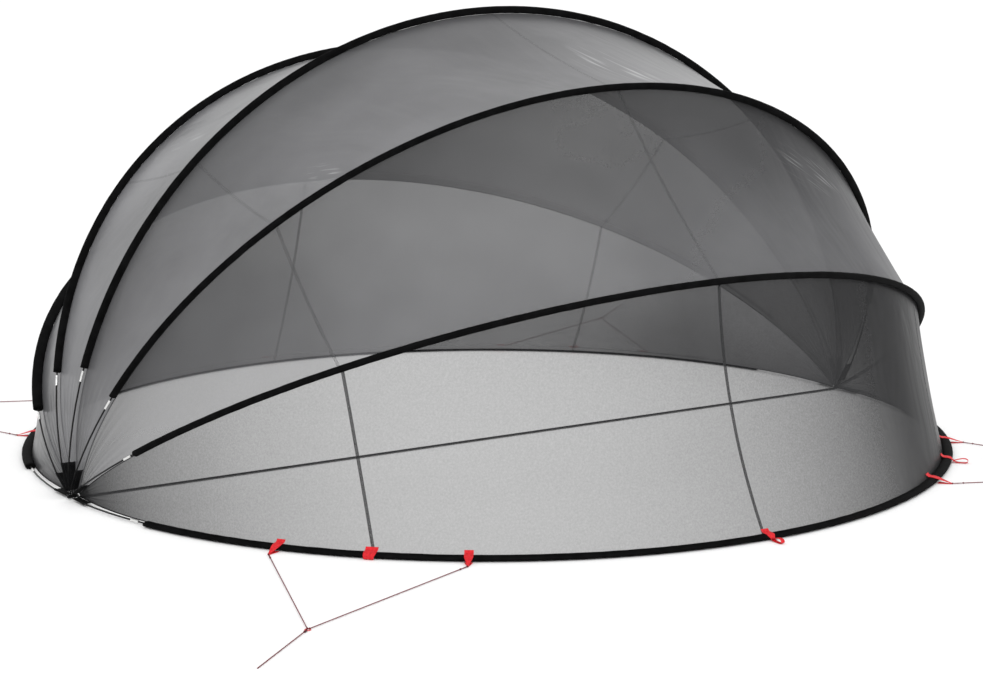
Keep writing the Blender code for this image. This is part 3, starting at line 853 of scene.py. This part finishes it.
def thicken(strip, thickness):
    """Gives a shaped strip its thickness, half to each side, and soft edges."""
    solid = strip.modifiers.new("thickness", "SOLIDIFY")
    solid.thickness = thickness
    solid.offset = 0.0
    soft = strip.modifiers.new("soft_edges", "BEVEL")
    soft.width = thickness * 0.3
    soft.segments = 2
    soft.limit_method = "ANGLE"
    soft.angle_limit = math.radians(60)
    apply_all(strip)
    set_faces_out(strip)
    pick(strip)
    bpy.ops.object.shade_smooth_by_angle(angle=math.radians(50))


black_webbing = woven_material(
    "black_webbing",
    dark=(0.0025, 0.0025, 0.0028),
    light=(0.0070, 0.0070, 0.0075),
    roughness=0.62,
    thread=0.0012,
    patch_size=0.03,
    bump=0.0005,
    gloss=0.08,
)
pale_weld = grained_material(
    "pale_weld",
    roughness=0.5,
    dark=(0.075, 0.075, 0.078),
    light=(0.125, 0.125, 0.130),
    scale=60.0,
)[0]
for name, body, angle, rise in HOOPS:
    tape_finish = black_webbing if name in ("ring_front", "hoop_a", "ring_back") else pale_weld
    hem_width = HEM_WIDTH if name.startswith("ring") else WELD_WIDTH
    for side, mark in ((1, "left"), (-1, "right")):
        hem = strip_of(f"{name}_binding_{mark}", 24, 2, RING_RADIUS * HEM_TURN, hem_width)
        for vertex in hem.data.vertices:
            turn = FILM_CORNER_TURN + HEM_TURN * (vertex.co.x / RING_RADIUS / HEM_TURN + 0.5)
            ahead = film_edge(turn + 0.01, (name, body, angle, rise))
            spot = film_edge(turn, (name, body, angle, rise))
            run = (ahead - spot).normalized()
            spot += Vector((-run.y, run.x)) * vertex.co.y
            vertex.co = (side * spot.x, -spot.y, 0.0)
        thicken(hem, HEM_THICKNESS)
        hem.data.materials.append(tape_finish)
        turn_up(hem, angle)
        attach(hem, body)

# At each hub a rod end stands in a pocket of stiff black webbing, folded double and sewn. The rod's
# channel is on the pocket's outer edge, and a narrow loop below it turns on the hinge pin.
POCKET_REACH = 0.178
POCKET_FOOT = 0.046
POCKET_WIDTH = 0.042
POCKET_THICKNESS = 0.0033
CHANNEL_RADIUS = 0.0064
CHANNEL_START = 0.112
CHANNEL_FULL = 0.150
LOOP_WIDTH = 0.005
LOOP_PITCH = 0.006
LOOP_RADIUS = 0.0098
STITCH_LENGTH = 0.0034
STITCH_PITCH = 0.0050
THREAD_RADIUS = 0.00035
STITCH_INSET = 0.003
CHANNEL_MARGIN = 0.002
LOOP_BORE_RADIUS = 0.0055
NECK_LAP = 0.008
thread_finish = grained_material(
    "black_thread",
    roughness=0.5,
    dark=(0.020, 0.020, 0.021),
    light=(0.045, 0.045, 0.047),
    scale=900.0,
)[0]


def stitches_along(name, points, pitch, length, radius, finish):
    """A row of short raised stitches, each between two of the points' own steps along the line."""
    rows = bmesh.new()
    for first, second in zip(points, points[1:]):
        run = second - first
        count = max(1, round(run.length / pitch))
        turn = run.to_track_quat("Z", "Y").to_matrix().to_4x4()
        for number in range(count):
            turn.translation = first.lerp(second, (number + 0.5) / count)
            bmesh.ops.create_cone(
                rows, cap_ends=True, segments=5, radius1=radius, radius2=radius, depth=length, matrix=turn
            )
    mesh = bpy.data.meshes.new(name)
    rows.to_mesh(mesh)
    rows.free()
    mesh.materials.append(finish)
    stitched = bpy.data.objects.new(name, mesh)
    bpy.context.scene.collection.objects.link(stitched)
    return stitched


for order, (name, body, angle, rise) in enumerate(reversed(HOOPS)):
    foot_x = RING_RADIUS * math.cos(math.asin(POCKET_REACH / rise))
    outer_x = foot_x + CHANNEL_RADIUS
    for side, mark in ((-1, "left"), (1, "right")):
        length = POCKET_REACH - POCKET_FOOT
        pocket = strip_of(f"{name}_pocket_{mark}", 36, 16, length, POCKET_WIDTH)
        thicken(pocket, POCKET_THICKNESS)
        for vertex in pocket.data.vertices:
            reach = POCKET_FOOT + length / 2 + vertex.co.x
            inward = POCKET_WIDTH / 2 + vertex.co.y
            full = min(max((reach - CHANNEL_START) / (CHANNEL_FULL - CHANNEL_START), 0.0), 1.0)
            aside = (inward - CHANNEL_RADIUS) / CHANNEL_RADIUS
            if abs(aside) < 1.0:
                swell = CHANNEL_RADIUS * math.sqrt(1.0 - aside * aside) * full
                vertex.co.z = math.copysign(max(abs(vertex.co.z), swell), vertex.co.z)
            vertex.co = (side * (outer_x - inward), -reach, vertex.co.z)
        knuckle_x = side * (outer_x - LOOP_WIDTH / 2 - order * LOOP_PITCH)
        bpy.ops.mesh.primitive_cylinder_add(
            vertices=28,
            radius=LOOP_RADIUS,
            depth=LOOP_WIDTH,
            end_fill_type="NOTHING",
            location=(knuckle_x, 0, 0),
            rotation=(0, math.pi / 2, 0),
        )
        loop = bpy.context.object
        settle(loop)
        loop_wall = loop.modifiers.new("wall", "SOLIDIFY")
        loop_wall.thickness = LOOP_RADIUS - LOOP_BORE_RADIUS
        loop_wall.offset = -1.0
        apply_all(loop)
        neck = strip_of("neck", 8, 2, POCKET_FOOT - LOOP_RADIUS + NECK_LAP, LOOP_WIDTH)
        neck.rotation_euler.z = math.pi / 2
        neck.location = (knuckle_x, -(POCKET_FOOT + LOOP_RADIUS) / 2, 0)
        settle(neck)
        thicken(neck, POCKET_THICKNESS)
        near_channel = 2 * CHANNEL_RADIUS + CHANNEL_MARGIN
        near_edge = POCKET_WIDTH - STITCH_INSET
        low = POCKET_FOOT + STITCH_INSET
        high = POCKET_REACH - STITCH_INSET
        corners = ((near_edge, low), (near_edge, high), (near_channel, high), (near_channel, low))
        sewn = []
        for face_side in (-1, 1):
            line = [
                Vector((side * (outer_x - inward), -reach, face_side * POCKET_THICKNESS / 2))
                for inward, reach in (*corners, corners[0])
            ]
            row = stitches_along("row", line, STITCH_PITCH, STITCH_LENGTH, THREAD_RADIUS, thread_finish)
            sewn.append(row)
        for part in (pocket, loop, neck):
            part.data.materials.clear()
            part.data.materials.append(black_webbing)
        pick(pocket, loop, neck, *sewn)
        bpy.ops.object.join()
        turn_up(pocket, angle)
        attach(pocket, body)
        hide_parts(f"{name}_socket_{mark}")

# One plain steel pin through all the loops of a hub, with a domed head at each end that keeps them on.
PIN_RADIUS = 0.005
PIN_HEAD_RADIUS = 0.007
PIN_HEAD = 0.003
PIN_LOW = 2.4475
PIN_HIGH = 2.5025
pin_steel = grained_material(
    "dull_pin_steel",
    roughness=0.45,
    dark=(0.025, 0.025, 0.026),
    light=(0.060, 0.060, 0.062),
    scale=400.0,
    detail=6.0,
    metallic=1.0,
)[0]
for side, mark in ((-1, "left"), (1, "right")):
    bpy.ops.mesh.primitive_cylinder_add(
        vertices=32,
        radius=PIN_RADIUS,
        depth=PIN_HIGH - PIN_LOW,
        location=(side * (PIN_HIGH + PIN_LOW) / 2, 0, AXIS_HEIGHT),
        rotation=(0, math.pi / 2, 0),
    )
    pin = bpy.context.object
    pin.name = f"hub_pin_{mark}"
    settle(pin)
    heads = []
    for middle in (PIN_LOW - PIN_HEAD / 2, PIN_HIGH + PIN_HEAD / 2):
        bpy.ops.mesh.primitive_cylinder_add(
            vertices=32,
            radius=PIN_HEAD_RADIUS,
            depth=PIN_HEAD,
            location=(side * middle, 0, AXIS_HEIGHT),
            rotation=(0, math.pi / 2, 0),
        )
        head = bpy.context.object
        settle(head)
        domed = head.modifiers.new("domed", "BEVEL")
        domed.width = 0.0012
        domed.segments = 3
        domed.limit_method = "ANGLE"
        apply_all(head)
        heads.append(head)
    for part in (pin, *heads):
        part.data.materials.append(pin_steel)
    pick(pin, *heads)
    bpy.ops.object.join()
    bpy.ops.object.shade_smooth_by_angle(angle=math.radians(40))
    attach(pin, "root")
    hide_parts(f"hinge_pin_{mark}")

# A taut strap of dark webbing runs just over the ground from hub to hub and keeps them from spreading.
# Each end is turned up at a right angle and hangs on the pin by a rolled eyelet.
STRAP_WIDTH = 0.028
STRAP_THICKNESS = 0.0018
STRAP_LEVEL = 0.0066
STRAP_END = 2.4545
STRAP_BEND = 0.003
STRAP_TOP = 0.0255
BEND_STEPS = 6
EYELET_PLAY = 0.0005
EYELET_RADIUS = 0.0068
EYELET_WIRE = 0.0011
strap_webbing = woven_material(
    "dark_strap_webbing",
    dark=(0.018, 0.018, 0.020),
    light=(0.040, 0.040, 0.043),
    roughness=0.7,
    thread=0.0011,
    patch_size=0.08,
    bump=0.0004,
)
bend_start = STRAP_END - STRAP_BEND
bend_length = STRAP_BEND * math.pi / 2
strap_half = bend_start + bend_length + STRAP_TOP - STRAP_LEVEL - STRAP_BEND
strap = strip_of("hub_to_hub_strap", 1, 6, 2 * strap_half, STRAP_WIDTH)
bpy.ops.object.mode_set(mode="EDIT")
for step in range(BEND_STEPS + 1):
    for side in (-1, 1):
        bpy.ops.mesh.select_all(action="SELECT")
        cut_at = side * (bend_start + bend_length * step / BEND_STEPS)
        bpy.ops.mesh.bisect(plane_co=(cut_at, 0, 0), plane_no=(1, 0, 0))
bpy.ops.object.mode_set(mode="OBJECT")
for vertex in strap.data.vertices:
    side = math.copysign(1.0, vertex.co.x)
    beyond = max(abs(vertex.co.x) - bend_start, 0.0)
    turn = min(beyond / STRAP_BEND, math.pi / 2)
    straight_up = max(beyond - bend_length, 0.0)
    along = min(abs(vertex.co.x), bend_start) + STRAP_BEND * math.sin(turn)
    height = STRAP_LEVEL + STRAP_BEND * (1 - math.cos(turn)) + straight_up
    vertex.co = (side * along, vertex.co.y, height)
thicken(strap, STRAP_THICKNESS)
for side in (-1, 1):
    bpy.ops.mesh.primitive_cylinder_add(
        vertices=32,
        radius=PIN_RADIUS + EYELET_PLAY,
        depth=0.02,
        location=(side * STRAP_END, 0, AXIS_HEIGHT),
        rotation=(0, math.pi / 2, 0),
    )
    punch = bpy.context.object
    settle(punch)
    cut = strap.modifiers.new("eyelet", "BOOLEAN")
    cut.operation = "DIFFERENCE"
    cut.object = punch
    apply_all(strap)
    bpy.data.objects.remove(punch)
strap.data.materials.append(strap_webbing)
eyelets = []
for side in (-1, 1):
    bpy.ops.mesh.primitive_torus_add(
        major_radius=EYELET_RADIUS,
        minor_radius=EYELET_WIRE,
        major_segments=32,
        minor_segments=8,
        location=(side * STRAP_END, 0, AXIS_HEIGHT),
        rotation=(0, math.pi / 2, 0),
    )
    eyelet = bpy.context.object
    settle(eyelet)
    eyelet.data.shade_smooth()
    eyelet.data.materials.append(pin_steel)
    eyelets.append(eyelet)
pick(strap, *eyelets)
bpy.ops.object.join()
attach(strap, "root")
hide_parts("floor_strap")

# Broad tabs of red webbing are sewn over the ring sleeves. In the middle of each quarter, and at the front
# and the back, the tab ends in a loop for a ground peg. The loop at the front left is bunched up.
TAB_WIDTH = 0.044
TAB_THICKNESS = 0.0015
TAB_STITCHED = 0.012
TAB_TOP = 0.0167
TAB_FALL = 0.13
TAB_STITCH_INSET = 0.003
TAB_STITCH_PITCH = 0.0036
TAB_STITCH_LENGTH = 0.0026
TAB_THREAD_RADIUS = 0.0003
# Side views from the inner end, which stands up along the film: out from the ring line, up, and width.
OVER_SLEEVE = (
    (-0.0330, 0.0290, 0.044),
    (-0.0190, 0.0178, 0.044),
    (0.0000, 0.0160, 0.044),
    (0.0120, 0.0144, 0.044),
)
PEG_LINE = OVER_SLEEVE + (
    (0.0215, 0.0110, 0.043),
    (0.0288, 0.0040, 0.034),
    (0.0380, -0.0015, 0.024),
    (0.0600, 0.0045, 0.022),
    (0.0850, 0.0095, 0.022),
    (0.1040, 0.0070, 0.022),
    (0.1118, -0.0020, 0.022),
    (0.1050, -0.0110, 0.022),
    (0.0850, -0.0132, 0.022),
    (0.0600, -0.0120, 0.022),
    (0.0380, -0.0062, 0.024),
    (0.0300, -0.0055, 0.026),
)
BUNCHED_LINE = tuple((out, up, 0.062) for out, up, _ in OVER_SLEEVE) + (
    (0.0220, 0.0112, 0.061),
    (0.0310, 0.0075, 0.058),
    (0.0395, 0.0030, 0.054),
    (0.0430, -0.0045, 0.050),
    (0.0395, -0.0115, 0.048),
    (0.0310, -0.0130, 0.046),
)
CORDED_LINE = OVER_SLEEVE + (
    (0.0220, 0.0122, 0.043),
    (0.0340, 0.0090, 0.040),
    (0.0620, 0.0005, 0.026),
    (0.0880, -0.0072, 0.013),
    (0.1000, -0.0100, 0.009),
    (0.1022, -0.0118, 0.008),
    (0.0990, -0.0132, 0.009),
    (0.0880, -0.0134, 0.013),
    (0.0620, -0.0134, 0.026),
    (0.0310, -0.0134, 0.040),
)
red_webbing = woven_material(
    "red_webbing",
    dark=(0.56, 0.008, 0.014),
    light=(0.84, 0.020, 0.030),
    roughness=0.58,
    thread=0.0011,
    patch_size=0.012,
    bump=0.0004,
)
red_thread = grained_material(
    "dark_red_thread",
    roughness=0.5,
    dark=(0.26, 0.004, 0.008),
    light=(0.46, 0.010, 0.016),
    scale=900.0,
)[0]


def smooth_line(points, share):
    """A point of the smooth line through the points, at a share of the way along."""
    place = share * (len(points) - 1)
    first = min(int(place), len(points) - 2)
    part = place - first
    around = [Vector(points[min(max(first + step, 0), len(points) - 1)]) for step in (-1, 0, 1, 2)]
    before, start, end, after = around
    bend = part * part
    curve = 2 * start + (end - before) * part
    curve += (2 * before - 5 * start + 4 * end - after) * bend
    curve += (3 * start - before - 3 * end + after) * bend * part
    return curve / 2


def ring_place(angle, outward, aside, up):
    turn = math.radians(angle)
    out = Vector((math.cos(turn), math.sin(turn), 0.0))
    along = Vector((-math.sin(turn), math.cos(turn), 0.0))
    return out * (RING_RADIUS + outward) + along * aside + Vector((0, 0, up + AXIS_HEIGHT))


def wrap_tab(name, angle, line):
    """One band of webbing, shaped over the sleeve and sewn down by two rows of stitches on top."""
    lengths = [(Vector(b[:2]) - Vector(a[:2])).length for a, b in zip(line, line[1:])]
    length = sum(lengths)
    tab = strip_of(name, 8 * len(line), 10, length, TAB_WIDTH)
    for vertex in tab.data.vertices:
        spot = smooth_line(line, vertex.co.x / length + 0.5)
        vertex.co = ring_place(angle, spot.x, vertex.co.y * spot.z / TAB_WIDTH, spot.y)
    thicken(tab, TAB_THICKNESS)
    tab.data.materials.append(red_webbing)
    rows = []
    half_row = line[0][2] / 2 - TAB_STITCH_INSET
    for out in (0.0, TAB_STITCHED):
        ends = [ring_place(angle, out, aside * half_row, TAB_TOP - out * TAB_FALL) for aside in (-1, 1)]
        row = stitches_along(
            f"{name}_stitches", ends, TAB_STITCH_PITCH, TAB_STITCH_LENGTH, TAB_THREAD_RADIUS, red_thread
        )
        rows.append(row)
    pick(tab, *rows)
    bpy.ops.object.join()
    return tab


PEG_LOOPS = (
    ("loop_tab_front_left", "ring_front", 225.0),
    ("loop_tab_front", "ring_front", 270.0),
    ("loop_tab_front_right", "ring_front", 315.0),
    ("loop_tab_back_right", "root", 45.0),
    ("loop_tab_back", "root", 90.0),
    ("loop_tab_back_left", "root", 135.0),
)
for node, body, angle in PEG_LOOPS:
    side_view = BUNCHED_LINE if node == "loop_tab_front_left" else PEG_LINE
    tab = wrap_tab(f"{node}_webbing", angle, side_view)
    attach(tab, body)
    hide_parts(node)

# Beside each peg loop, two more tabs hold a guy line. Each narrows to a doubled lead of dark red cord, from
# which one cord goes on to a small ring, whose tail runs out through a slider to its peg.
GUY_SPREAD = 10.6
GUY_RING_AT = 1.47 * RING_RADIUS
GUY_RING_ASIDE = 0.55
GUY_END_AT = 1.695 * RING_RADIUS
GUY_END_ASIDE = -0.2
GUY_RING_RADIUS = 0.013
GUY_RING_WIRE = 0.0017
CORD_RADIUS = 0.0022
LEAD_START = 0.1010
LEAD_HEIGHT = 0.0038
LEAD_LENGTH = 0.060
LEAD_RADIUS = 0.0016
LEAD_SPREAD = 0.0017
SLIDER = (0.018, 0.011, 0.0055)
SLIDER_AFTER = 0.017
SLIDER_LIFT = 0.0006
RING_LIFT = 0.0022
TAIL_LIFT = 0.0004
KNOT_HEIGHT = 0.0044
LEAD_PINCH = 0.6
HITCH_AFTER = 0.003
HITCH_TURNS = 2.5
HITCH_STEPS = 8
HITCH_PITCH = 0.0024
HITCH_RADIUS = 0.0030
HITCH_CORD_RADIUS = 0.0013
red_cord = woven_material(
    "red_cord",
    dark=(0.12, 0.006, 0.014),
    light=(0.22, 0.014, 0.024),
    roughness=0.55,
    thread=0.0008,
    patch_size=0.006,
    bump=0.0003,
)
slider_plastic = grained_material(
    "dark_slider_plastic",
    roughness=0.45,
    dark=(0.035, 0.006, 0.008),
    light=(0.060, 0.010, 0.013),
    scale=500.0,
)[0]


def cord_through(points, radius):
    """A cord along a smooth line through the points, as a closed mesh."""
    bpy.ops.curve.primitive_bezier_curve_add(location=(0, 0, 0))
    cord = bpy.context.object
    line = cord.data.splines[0]
    line.bezier_points.add(len(points) - 2)
    for knot, spot in zip(line.bezier_points, points):
        knot.co = spot
        knot.handle_left_type = "AUTO"
        knot.handle_right_type = "AUTO"
    cord.data.dimensions = "3D"
    cord.data.resolution_u = 4
    cord.data.bevel_depth = radius
    cord.data.bevel_resolution = 2
    cord.data.use_fill_caps = True
    pick(cord)
    bpy.ops.object.convert(target="MESH")
    cord = bpy.context.object
    cord.data.materials.clear()
    cord.data.materials.append(red_cord)
    return cord


def hitch_at(spot, direction):
    """A few tight turns of the cord round itself, as a knot."""
    direction = direction.normalized()
    side = direction.cross(Vector((0, 0, 1))).normalized()
    up = side.cross(direction)
    count = int(HITCH_TURNS * HITCH_STEPS)
    points = []
    for number in range(count + 1):
        turn = number / HITCH_STEPS * math.tau
        along = (number / count - 0.5) * HITCH_TURNS * HITCH_PITCH
        round_cord = (side * math.cos(turn) + up * math.sin(turn)) * HITCH_RADIUS
        points.append(spot + direction * along + round_cord)
    return cord_through(points, HITCH_CORD_RADIUS)


# Name, body, middle of the quarter, and the way from there to the middle of the front or the back.
GUY_LINES = (
    ("guy_line_front_left", "ring_front", 225.0, 1),
    ("guy_line_front_right", "ring_front", 315.0, -1),
    ("guy_line_back_right", "root", 45.0, 1),
    ("guy_line_back_left", "root", 135.0, -1),
)
for node, body, centre, inward in GUY_LINES:
    ring_turn = math.radians(centre + inward * GUY_RING_ASIDE)
    ring_middle = Vector((math.cos(ring_turn), math.sin(ring_turn), 0.0)) * GUY_RING_AT
    ring_middle.z = RING_LIFT
    bpy.ops.mesh.primitive_torus_add(
        major_radius=GUY_RING_RADIUS,
        minor_radius=GUY_RING_WIRE,
        major_segments=36,
        minor_segments=8,
        location=ring_middle,
    )
    ring = bpy.context.object
    settle(ring)
    ring.data.shade_smooth()
    ring.data.materials.append(red_webbing)
    parts = [ring]
    end_turn = math.radians(centre + inward * GUY_END_ASIDE)
    tail_end = Vector((math.cos(end_turn), math.sin(end_turn), 0.0)) * GUY_END_AT
    tail_end.z = CORD_RADIUS + TAIL_LIFT
    out = Vector((tail_end.x - ring_middle.x, tail_end.y - ring_middle.y, 0.0)).normalized()
    tail_start = ring_middle + out * GUY_RING_RADIUS
    tail_start.z = KNOT_HEIGHT
    parts.append(cord_through([tail_start, tail_start.lerp(tail_end, 0.5), tail_end], CORD_RADIUS))
    parts.append(hitch_at(tail_start, tail_end - tail_start))
    bpy.ops.mesh.primitive_cube_add(size=1.0)
    slider = bpy.context.object
    slider.scale = SLIDER
    slider.rotation_euler.z = math.atan2(out.y, out.x)
    slider.location = tail_start + out * SLIDER_AFTER
    slider.location.z = SLIDER[2] / 2 + SLIDER_LIFT
    settle(slider)
    moulded_edges = slider.modifiers.new("moulded_edges", "BEVEL")
    moulded_edges.width = 0.0012
    moulded_edges.segments = 3
    apply_all(slider)
    slider.data.shade_smooth()
    slider.data.materials.append(slider_plastic)
    parts.append(slider)
    for angle in (centre - GUY_SPREAD, centre + GUY_SPREAD):
        parts.append(wrap_tab("corded_tab", angle, CORDED_LINE))
        lead_start = ring_place(angle, LEAD_START, 0.0, LEAD_HEIGHT - AXIS_HEIGHT)
        toward = Vector((ring_middle.x - lead_start.x, ring_middle.y - lead_start.y, 0.0)).normalized()
        beside = Vector((-toward.y, toward.x, 0.0)) * LEAD_SPREAD
        lead_end = lead_start + toward * LEAD_LENGTH
        ring_knot = ring_middle - toward * GUY_RING_RADIUS
        ring_knot.z = KNOT_HEIGHT
        parts.append(cord_through([lead_end, lead_end.lerp(ring_knot, 0.5), ring_knot], CORD_RADIUS))
        for strand in (-beside, beside):
            middle = lead_start.lerp(lead_end, 0.5) + strand
            parts.append(cord_through([lead_start + strand * LEAD_PINCH, middle, lead_end], LEAD_RADIUS))
        parts.append(hitch_at(lead_start + toward * HITCH_AFTER, toward))
        parts.append(hitch_at(lead_end, toward))
        parts.append(hitch_at(ring_knot, toward))
    pick(*parts)
    bpy.ops.object.join()
    guy = bpy.context.object
    guy.name = f"{node}_cords"
    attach(guy, body)
    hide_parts(node)

# The floor and the light: a plain pale floor under an even pale sky, with one soft lamp high at the left
# that gives the film its sheen.
FLOOR_SIZE = 120.0
FLOOR_DROP = 0.0005
bpy.ops.mesh.primitive_plane_add(size=FLOOR_SIZE, location=(0, 0, -FLOOR_DROP))
floor = bpy.context.object
floor.name = "pale_floor"
floor_paint, _, shader = new_material("pale_floor_paint", 0.9)
shader.inputs["Base Color"].default_value = (0.92, 0.92, 0.92, 1.0)
shader.inputs["Specular IOR Level"].default_value = 0.1
floor.data.materials.append(floor_paint)

world = bpy.context.scene.world or bpy.data.worlds.new("pale_sky")
bpy.context.scene.world = world
world.use_nodes = True
sky = world.node_tree.nodes["Background"]
sky.inputs["Color"].default_value = (1.0, 1.0, 1.0, 1.0)
sky.inputs["Strength"].default_value = 1.0
bpy.ops.object.light_add(type="SUN", location=(-6, -4, 10))
lamp = bpy.context.object
lamp.data.energy = 0.8
lamp.data.angle = math.radians(25)
lamp.rotation_euler = (math.radians(38), math.radians(-32), 0.0)
bpy.context.scene.view_settings.view_transform = "Standard"
